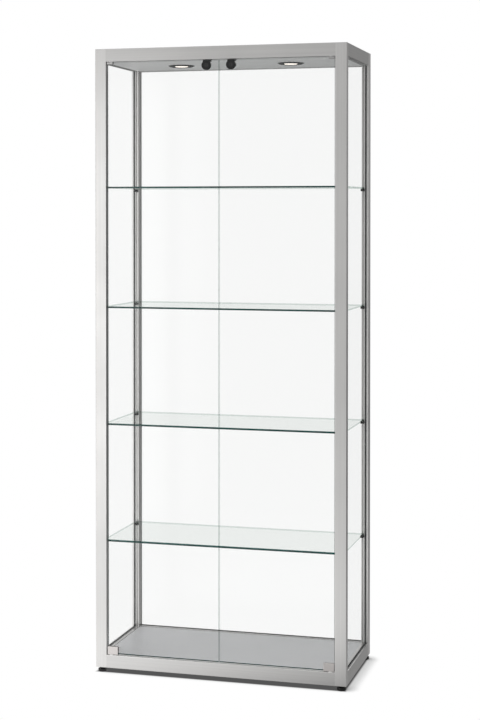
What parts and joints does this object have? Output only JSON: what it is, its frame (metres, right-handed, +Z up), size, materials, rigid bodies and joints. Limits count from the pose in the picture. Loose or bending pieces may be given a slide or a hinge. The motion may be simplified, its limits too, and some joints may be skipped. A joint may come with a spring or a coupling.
{
  "type": "glass display showcase",
  "caption": "Tall freestanding glass display showcase with aluminium frame, lockable double glass doors, height-adjustable glass shelves and ceiling spotlights.",
  "frame": {"origin": "on the floor under the feet, in the middle of the footprint", "axes": "+X to the right when facing the doors, +Y towards the back, +Z up; the doors face -Y"},
  "size_m": [0.8, 0.38, 1.95],
  "materials": {
    "frame_aluminium": "satin anodised, fine brushed lines",
    "clear_glass": "clear float glass, polished green edges",
    "gasket_rubber": "dark grey glazing rubber",
    "panel_board": "silver-grey melamine-faced board",
    "cover_sheet": "satin sheet",
    "steel_zinc": "zinc-plated steel",
    "black_plastic": "moulded black plastic",
    "lock_black": "satin black enamel",
    "lock_metal": "nickel plated",
    "hinge_metal": "satin nickel",
    "bezel_metal": "polished dark nickel",
    "lamp_lens": "frosted warm lens",
    "housing_metal": "die-cast",
    "spring_steel": "spring steel",
    "driver_case": "white moulded case",
    "lead_sheath": "black cable sheath",
    "white_nylon": "white nylon"
  },
  "bodies": {
    "frame": {"front_post_left": "frame_aluminium", "rear_post_left": "frame_aluminium", "front_post_right": "frame_aluminium", "rear_post_right": "frame_aluminium", "top_rail_front": "frame_aluminium", "top_rail_rear": "frame_aluminium", "top_rail_left": "frame_aluminium", "top_rail_right": "frame_aluminium", "bottom_rail_front": "frame_aluminium", "bottom_rail_rear": "frame_aluminium", "bottom_rail_left": "frame_aluminium", "bottom_rail_right": "frame_aluminium", "post_caps": "frame_aluminium", "rail_end_plugs": "housing_metal", "corner_bolts": "steel_zinc", "foot_inserts": "steel_zinc", "side_glass_left": "clear_glass", "side_glass_right": "clear_glass", "rear_glass": "clear_glass", "glazing_gaskets": "gasket_rubber", "floor_panel": "panel_board", "ceiling_panel": "panel_board", "top_cover": "cover_sheet", "panel_brackets": "steel_zinc", "panel_screws": "steel_zinc", "spotlight_bezels": "bezel_metal", "spotlight_lenses": "lamp_lens", "spotlight_housings": "housing_metal", "spotlight_springs": "spring_steel", "led_driver": "driver_case", "spotlight_leads": "lead_sheath", "cable_grommet": "gasket_rubber", "pivot_bushings": "white_nylon", "lock_strikes": "lock_metal"},
    "door_left": {"door_glass_left": "clear_glass", "door_hinge_shoes_left": "hinge_metal", "door_pivot_pins_left": "steel_zinc", "lock_body_left": "lock_black", "lock_nut_left": "lock_metal"},
    "lock_left": {"lock_plug_left": "lock_metal", "lock_cam_left": "lock_metal"},
    "door_right": {"door_glass_right": "clear_glass", "door_hinge_shoes_right": "hinge_metal", "door_pivot_pins_right": "steel_zinc", "lock_body_right": "lock_black", "lock_nut_right": "lock_metal"},
    "lock_right": {"lock_plug_right": "lock_metal", "lock_cam_right": "lock_metal"},
    "shelf_1": {"shelf_1": "clear_glass", "shelf_1_supports": "black_plastic"},
    "shelf_2": {"shelf_2": "clear_glass", "shelf_2_supports": "black_plastic"},
    "shelf_3": {"shelf_3": "clear_glass", "shelf_3_supports": "black_plastic"},
    "shelf_4": {"shelf_4": "clear_glass", "shelf_4_supports": "black_plastic"},
    "foot_front_left": {"foot_front_left": "black_plastic"},
    "foot_rear_left": {"foot_rear_left": "black_plastic"},
    "foot_front_right": {"foot_front_right": "black_plastic"},
    "foot_rear_right": {"foot_rear_right": "black_plastic"}
  },
  "joints": [
    {"name": "door_left_hinge", "type": "hinge", "parent": "frame", "child": "door_left", "pos_m": [-0.35, -0.1815, 0.98], "axis": [0, 0, -1], "range_deg": [0, 110]},
    {"name": "lock_left_turn", "type": "hinge", "parent": "door_left", "child": "lock_left", "pos_m": [-0.039, -0.182, 1.892], "axis": [0, 1, 0], "range_deg": [0, 90]},
    {"name": "door_right_hinge", "type": "hinge", "parent": "frame", "child": "door_right", "pos_m": [0.35, -0.1815, 0.98], "axis": [0, 0, 1], "range_deg": [0, 110]},
    {"name": "lock_right_turn", "type": "hinge", "parent": "door_right", "child": "lock_right", "pos_m": [0.039, -0.182, 1.892], "axis": [0, -1, 0], "range_deg": [0, 90]},
    {"name": "shelf_1_height", "type": "slide", "parent": "frame", "child": "shelf_1", "axis": [0, 0, 1], "range_m": [-0.15, 0.15]},
    {"name": "shelf_2_height", "type": "slide", "parent": "frame", "child": "shelf_2", "axis": [0, 0, 1], "range_m": [-0.15, 0.15]},
    {"name": "shelf_3_height", "type": "slide", "parent": "frame", "child": "shelf_3", "axis": [0, 0, 1], "range_m": [-0.15, 0.15]},
    {"name": "shelf_4_height", "type": "slide", "parent": "frame", "child": "shelf_4", "axis": [0, 0, 1], "range_m": [-0.15, 0.15]},
    {"name": "foot_front_left_level", "type": "slide", "parent": "frame", "child": "foot_front_left", "axis": [0, 0, -1], "range_m": [0, 0.01]},
    {"name": "foot_rear_left_level", "type": "slide", "parent": "frame", "child": "foot_rear_left", "axis": [0, 0, -1], "range_m": [0, 0.01]},
    {"name": "foot_front_right_level", "type": "slide", "parent": "frame", "child": "foot_front_right", "axis": [0, 0, -1], "range_m": [0, 0.01]},
    {"name": "foot_rear_right_level", "type": "slide", "parent": "frame", "child": "foot_rear_right", "axis": [0, 0, -1], "range_m": [0, 0.01]}
  ]
}
